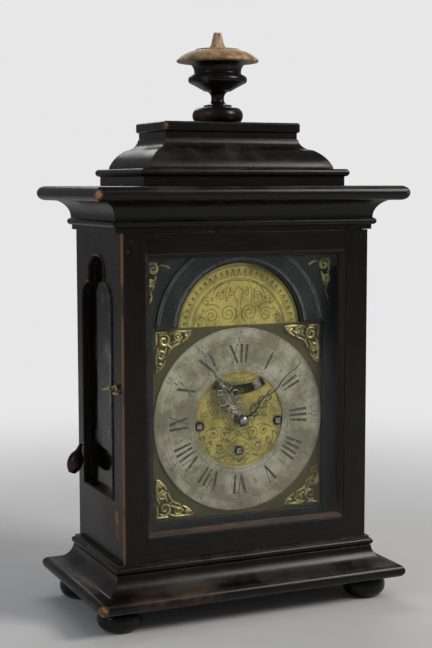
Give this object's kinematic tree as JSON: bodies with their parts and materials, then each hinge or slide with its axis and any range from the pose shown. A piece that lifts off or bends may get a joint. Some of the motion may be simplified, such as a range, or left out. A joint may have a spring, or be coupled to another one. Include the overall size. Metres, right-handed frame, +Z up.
{
  "type": "bracket clock",
  "caption": "Table clock with an ebonised wooden case, bell top and urn finial, glazed doors, arched brass dial and a spring-driven movement that strikes on bells.",
  "frame": {"origin": "middle of the footprint of the base and cornice, on the floor under the feet", "axes": "+Z up, -Y out through the glazed front door, +X to the right seen from the front"},
  "size_m": [0.3, 0.1694, 0.5233],
  "materials": {
    "ebonised_wood": "satin",
    "worn_wood": "matte",
    "pine": "matte",
    "engraved_brass": "satin",
    "movement_brass": "satin",
    "silvered_ring": "matte",
    "blued_steel": "satin",
    "bright_steel": "satin",
    "pane": "gloss",
    "bell_metal": "satin"
  },
  "bodies": {
    "case": {"bun_feet": "ebonised_wood", "base_moulding": "ebonised_wood", "bottom_board": "pine", "side_panels": "ebonised_wood", "mask_board": "ebonised_wood", "back_rails": "ebonised_wood", "top_board": "pine", "cornice_moulding": "ebonised_wood", "plinth_board": "ebonised_wood", "bell_top_moulding": "ebonised_wood", "top_pad": "ebonised_wood", "finial_urn": "ebonised_wood", "finial_lid": "worn_wood", "finial_spire": "worn_wood", "side_panes": "pane", "mask_scrolls": "engraved_brass", "seat_board": "pine", "hinge_case_leaves": "movement_brass", "hinge_pins": "movement_brass", "hook_pivot": "movement_brass", "pull_bush": "movement_brass", "dial_plate": "engraved_brass", "chapter_ring": "silvered_ring", "corner_spandrels": "engraved_brass", "front_plate": "movement_brass", "back_plate": "movement_brass", "pillars": "movement_brass", "verge_cocks": "movement_brass", "bell_stand": "movement_brass", "bells": "bell_metal"},
    "front_door": {"door_stiles": "ebonised_wood", "door_rails": "ebonised_wood", "door_glazing_beads": "worn_wood", "door_glass": "pane", "door_hinge_leaves": "movement_brass", "door_eye": "movement_brass"},
    "hook": {"door_hook": "movement_brass"},
    "back_door": {"back_door_frame": "ebonised_wood", "back_door_glass": "pane", "back_hinge_leaves": "movement_brass", "back_knob": "movement_brass"},
    "minute": {"minute_hand": "blued_steel", "hand_collet": "bright_steel", "centre_arbor": "bright_steel"},
    "hour": {"hour_hand": "blued_steel", "hour_wheel": "movement_brass"},
    "reverse_wheel": {"minute_wheel": "movement_brass"},
    "going_drum": {"going_barrel": "movement_brass"},
    "strike_drum": {"strike_barrel": "movement_brass"},
    "quarter_drum": {"quarter_barrel": "movement_brass"},
    "going_winder": {"winding_arbor_going": "bright_steel"},
    "strike_winder": {"winding_arbor_strike": "bright_steel"},
    "quarter_winder": {"winding_arbor_quarter": "bright_steel"},
    "contrate": {"contrate_wheel": "movement_brass"},
    "crown": {"crown_wheel": "movement_brass"},
    "verge": {"verge_staff": "bright_steel", "pendulum": "movement_brass"},
    "hour_striker": {"hour_hammer": "bright_steel"},
    "quarter_striker": {"quarter_hammer": "bright_steel"},
    "pull": {"repeat_pull": "ebonised_wood"}
  },
  "joints": [
    {"name": "front_door_swing", "type": "hinge", "parent": "case", "child": "front_door", "pos_m": [0.1222, -0.04805, 0.201], "axis": [0, 0, 1], "range_deg": [0, 110]},
    {"name": "hook_turn", "type": "hinge", "parent": "case", "child": "hook", "pos_m": [-0.1235, -0.04225, 0.211], "axis": [-1, 0, 0], "range_deg": [-17, 100]},
    {"name": "back_door_swing", "type": "hinge", "parent": "case", "child": "back_door", "pos_m": [0.1108, 0.06245, 0.201], "axis": [0, 0, -1], "range_deg": [0, 110]},
    {"name": "minute_turn", "type": "hinge", "parent": "case", "child": "minute", "pos_m": [0, -0.01975, 0.174], "axis": [0, 1, 0], "continuous": true},
    {"name": "hour_turn", "type": "hinge", "parent": "case", "child": "hour", "pos_m": [0, -0.02975, 0.174], "axis": [0, 1, 0], "continuous": true},
    {"name": "reverse_wheel_turn", "type": "hinge", "parent": "case", "child": "reverse_wheel", "pos_m": [0.01273, -0.02575, 0.18673], "axis": [0, 1, 0], "continuous": true},
    {"name": "going_barrel_turn", "type": "hinge", "parent": "case", "child": "going_drum", "pos_m": [0, -0.01775, 0.1449], "axis": [0, 1, 0], "continuous": true},
    {"name": "strike_barrel_turn", "type": "hinge", "parent": "case", "child": "strike_drum", "pos_m": [-0.0392, 0.01825, 0.1698], "axis": [0, 1, 0], "continuous": true},
    {"name": "quarter_barrel_turn", "type": "hinge", "parent": "case", "child": "quarter_drum", "pos_m": [0.0392, 0.01825, 0.1698], "axis": [0, 1, 0], "continuous": true},
    {"name": "going_winding", "type": "hinge", "parent": "case", "child": "going_winder", "pos_m": [0, -0.02575, 0.1449], "axis": [0, 1, 0], "continuous": true},
    {"name": "strike_winding", "type": "hinge", "parent": "case", "child": "strike_winder", "pos_m": [-0.0392, -0.02575, 0.1698], "axis": [0, 1, 0], "continuous": true},
    {"name": "quarter_winding", "type": "hinge", "parent": "case", "child": "quarter_winder", "pos_m": [0.0392, -0.02575, 0.1698], "axis": [0, 1, 0], "continuous": true},
    {"name": "contrate_turn", "type": "hinge", "parent": "case", "child": "contrate", "pos_m": [0, -0.00375, 0.194], "axis": [0, 1, 0], "continuous": true},
    {"name": "crown_turn", "type": "hinge", "parent": "case", "child": "crown", "pos_m": [0, 0.00083, 0.23], "axis": [0, 0, 1], "continuous": true},
    {"name": "pendulum_swing", "type": "hinge", "parent": "case", "child": "verge", "pos_m": [0, 0.03525, 0.2494], "axis": [0, 1, 0], "range_deg": [0, 47.2]},
    {"name": "hour_hammer_swing", "type": "hinge", "parent": "case", "child": "hour_striker", "pos_m": [-0.056, 0.00425, 0.236], "axis": [0, 1, 0], "range_deg": [-12, 0], "stiffness_Nm_per_rad": 0.02, "springref_deg": 5.73},
    {"name": "quarter_hammer_swing", "type": "hinge", "parent": "case", "child": "quarter_striker", "pos_m": [0.056, 0.00425, 0.236], "axis": [0, 1, 0], "range_deg": [0, 12], "stiffness_Nm_per_rad": 0.02, "springref_deg": -5.73},
    {"name": "repeat_pull_slide", "type": "slide", "parent": "case", "child": "pull", "axis": [-1, 0, 0], "range_m": [0, 0.025], "stiffness_N_per_m": 60, "springref_m": -0.004}
  ],
  "couplings": [
    {"joint": "hour_turn", "follows": "minute_turn", "ratio": 0.083333},
    {"joint": "reverse_wheel_turn", "follows": "minute_turn", "ratio": -0.33333},
    {"joint": "going_barrel_turn", "follows": "minute_turn", "ratio": -0.083333},
    {"joint": "contrate_turn", "follows": "minute_turn", "ratio": -9},
    {"joint": "crown_turn", "follows": "minute_turn", "ratio": -54}
  ]
}
